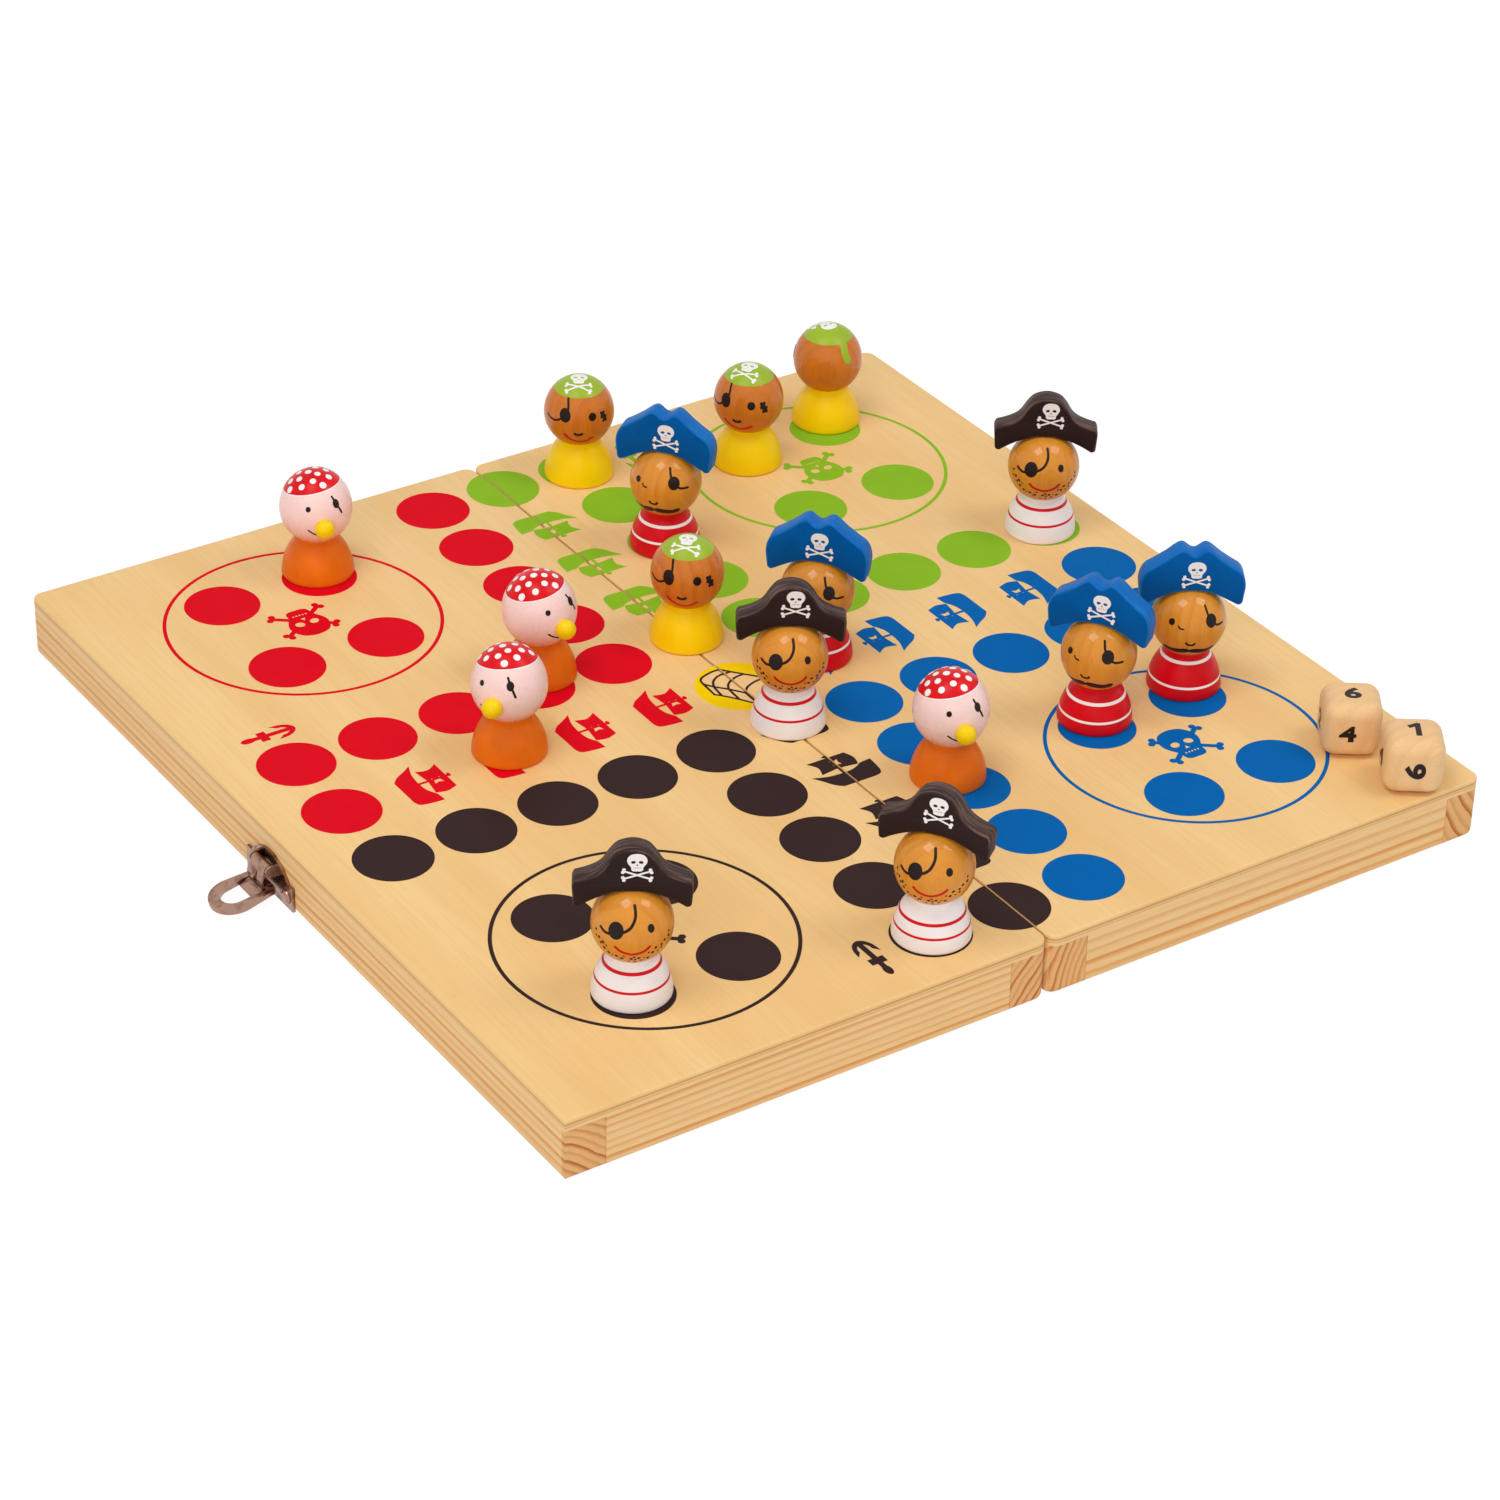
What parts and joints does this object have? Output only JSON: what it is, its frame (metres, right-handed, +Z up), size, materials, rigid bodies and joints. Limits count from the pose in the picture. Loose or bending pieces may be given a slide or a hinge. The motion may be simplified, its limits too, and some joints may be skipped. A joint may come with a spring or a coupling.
{
  "type": "folding ludo board box",
  "caption": "Wooden ludo board of two hinged trays that folds into its own storage box, with a hook clasp, painted pawns and dice set out on top.",
  "frame": {"origin": "on the fold axis, midway along the seam, in the plane of the rims that the open board stands on", "axes": "+X along the fold axis, -Y out through the front half with the clasp, +Z up through the printed board"},
  "size_m": [0.2713, 0.292, 0.0595],
  "materials": {
    "birch_plywood": "satin varnish over printed plywood",
    "pine": "sanded pine under clear satin varnish",
    "nickel_plate": "bright nickel plate on stamped steel",
    "bird_peg_lacquer": "gloss lacquer, orange foot and pale pink ball",
    "bandana_peg_lacquer": "gloss lacquer, yellow foot, clear ball with a green cap",
    "blue_hat_peg_lacquer": "gloss lacquer, red foot with white stripes, clear ball",
    "black_hat_peg_lacquer": "gloss lacquer, white foot with red stripes, clear ball",
    "blue_lacquer": "satin blue lacquer",
    "black_lacquer": "satin black-brown lacquer",
    "yellow_lacquer": "gloss yellow lacquer",
    "dice_wood": "bare sanded beech with black numerals"
  },
  "bodies": {
    "front_half": {"front_left_rail": "pine", "front_outer_rail": "pine", "front_right_rail": "pine", "front_seam_rail": "pine", "front_top_panel": "birch_plywood", "hinge_screws_front": "nickel_plate", "latch_base_plate": "nickel_plate", "latch_lever_pin": "nickel_plate", "latch_nails": "nickel_plate", "left_hinge_front_leaf": "nickel_plate", "left_hinge_pin": "nickel_plate", "right_hinge_front_leaf": "nickel_plate", "right_hinge_pin": "nickel_plate"},
    "rear_half": {"catch_nails": "nickel_plate", "catch_plate": "nickel_plate", "hinge_screws_rear": "nickel_plate", "left_hinge_rear_leaf": "nickel_plate", "rear_left_rail": "pine", "rear_outer_rail": "pine", "rear_right_rail": "pine", "rear_seam_rail": "pine", "rear_top_panel": "birch_plywood", "right_hinge_rear_leaf": "nickel_plate"},
    "latch_lever": {"latch_lever": "nickel_plate"},
    "latch_loop": {"latch_loop": "nickel_plate"},
    "bandana_pawn_1": {"bandana_pawn_1_peg": "bandana_peg_lacquer"},
    "bandana_pawn_2": {"bandana_pawn_2_peg": "bandana_peg_lacquer"},
    "bandana_pawn_3": {"bandana_pawn_3_peg": "bandana_peg_lacquer"},
    "bandana_pawn_4": {"bandana_pawn_4_peg": "bandana_peg_lacquer"},
    "bird_pawn_1": {"bird_pawn_1_nose": "yellow_lacquer", "bird_pawn_1_peg": "bird_peg_lacquer"},
    "bird_pawn_2": {"bird_pawn_2_nose": "yellow_lacquer", "bird_pawn_2_peg": "bird_peg_lacquer"},
    "bird_pawn_3": {"bird_pawn_3_nose": "yellow_lacquer", "bird_pawn_3_peg": "bird_peg_lacquer"},
    "bird_pawn_4": {"bird_pawn_4_nose": "yellow_lacquer", "bird_pawn_4_peg": "bird_peg_lacquer"},
    "black_hat_pawn_1": {"black_hat_pawn_1_hat": "black_lacquer", "black_hat_pawn_1_peg": "black_hat_peg_lacquer"},
    "black_hat_pawn_2": {"black_hat_pawn_2_hat": "black_lacquer", "black_hat_pawn_2_peg": "black_hat_peg_lacquer"},
    "black_hat_pawn_3": {"black_hat_pawn_3_hat": "black_lacquer", "black_hat_pawn_3_peg": "black_hat_peg_lacquer"},
    "black_hat_pawn_4": {"black_hat_pawn_4_hat": "black_lacquer", "black_hat_pawn_4_peg": "black_hat_peg_lacquer"},
    "blue_hat_pawn_1": {"blue_hat_pawn_1_hat": "blue_lacquer", "blue_hat_pawn_1_peg": "blue_hat_peg_lacquer"},
    "blue_hat_pawn_2": {"blue_hat_pawn_2_hat": "blue_lacquer", "blue_hat_pawn_2_peg": "blue_hat_peg_lacquer"},
    "blue_hat_pawn_3": {"blue_hat_pawn_3_hat": "blue_lacquer", "blue_hat_pawn_3_peg": "blue_hat_peg_lacquer"},
    "blue_hat_pawn_4": {"blue_hat_pawn_4_hat": "blue_lacquer", "blue_hat_pawn_4_peg": "blue_hat_peg_lacquer"},
    "die_1": {"die_1": "dice_wood"},
    "die_2": {"die_2": "dice_wood"}
  },
  "joints": [
    {"name": "board_fold", "type": "hinge", "parent": "front_half", "child": "rear_half", "pos_m": [0, 0, 0], "axis": [-1, 0, 0], "range_deg": [0, 180]},
    {"name": "latch_lever_swing", "type": "hinge", "parent": "front_half", "child": "latch_lever", "pos_m": [-0.002, -0.1376, 0.0086], "axis": [-1, 0, 0], "range_deg": [0, 100]},
    {"name": "latch_loop_swing", "type": "hinge", "parent": "latch_lever", "child": "latch_loop", "pos_m": [-0.002, -0.138, 0.0032], "axis": [1, 0, 0], "range_deg": [-40, 80.5]},
    {"name": "bandana_pawn_1_lift", "type": "slide", "parent": "rear_half", "child": "bandana_pawn_1", "axis": [0, 0, 1], "range_m": [0, 0.05]},
    {"name": "bandana_pawn_2_lift", "type": "slide", "parent": "rear_half", "child": "bandana_pawn_2", "axis": [0, 0, 1], "range_m": [0, 0.05]},
    {"name": "bandana_pawn_3_lift", "type": "slide", "parent": "rear_half", "child": "bandana_pawn_3", "axis": [0, 0, 1], "range_m": [0, 0.05]},
    {"name": "bandana_pawn_4_lift", "type": "slide", "parent": "rear_half", "child": "bandana_pawn_4", "axis": [0, 0, 1], "range_m": [0, 0.05]},
    {"name": "bird_pawn_1_lift", "type": "slide", "parent": "front_half", "child": "bird_pawn_1", "axis": [0, 0, 1], "range_m": [0, 0.05]},
    {"name": "bird_pawn_2_lift", "type": "slide", "parent": "front_half", "child": "bird_pawn_2", "axis": [0, 0, 1], "range_m": [0, 0.05]},
    {"name": "bird_pawn_3_lift", "type": "slide", "parent": "front_half", "child": "bird_pawn_3", "axis": [0, 0, 1], "range_m": [0, 0.05]},
    {"name": "bird_pawn_4_lift", "type": "slide", "parent": "rear_half", "child": "bird_pawn_4", "axis": [0, 0, 1], "range_m": [0, 0.05]},
    {"name": "black_hat_pawn_1_lift", "type": "slide", "parent": "front_half", "child": "black_hat_pawn_1", "axis": [0, 0, 1], "range_m": [0, 0.05]},
    {"name": "black_hat_pawn_2_lift", "type": "slide", "parent": "front_half", "child": "black_hat_pawn_2", "axis": [0, 0, 1], "range_m": [0, 0.05]},
    {"name": "black_hat_pawn_3_lift", "type": "slide", "parent": "rear_half", "child": "black_hat_pawn_3", "axis": [0, 0, 1], "range_m": [0, 0.05]},
    {"name": "black_hat_pawn_4_lift", "type": "slide", "parent": "rear_half", "child": "black_hat_pawn_4", "axis": [0, 0, 1], "range_m": [0, 0.05]},
    {"name": "blue_hat_pawn_1_lift", "type": "slide", "parent": "rear_half", "child": "blue_hat_pawn_1", "axis": [0, 0, 1], "range_m": [0, 0.05]},
    {"name": "blue_hat_pawn_2_lift", "type": "slide", "parent": "rear_half", "child": "blue_hat_pawn_2", "axis": [0, 0, 1], "range_m": [0, 0.05]},
    {"name": "blue_hat_pawn_3_lift", "type": "slide", "parent": "rear_half", "child": "blue_hat_pawn_3", "axis": [0, 0, 1], "range_m": [0, 0.05]},
    {"name": "blue_hat_pawn_4_lift", "type": "slide", "parent": "rear_half", "child": "blue_hat_pawn_4", "axis": [0, 0, 1], "range_m": [0, 0.05]},
    {"name": "die_1_lift", "type": "slide", "parent": "rear_half", "child": "die_1", "axis": [0, 0, 1], "range_m": [0, 0.05]},
    {"name": "die_2_lift", "type": "slide", "parent": "rear_half", "child": "die_2", "axis": [0, 0, 1], "range_m": [0, 0.05]}
  ]
}
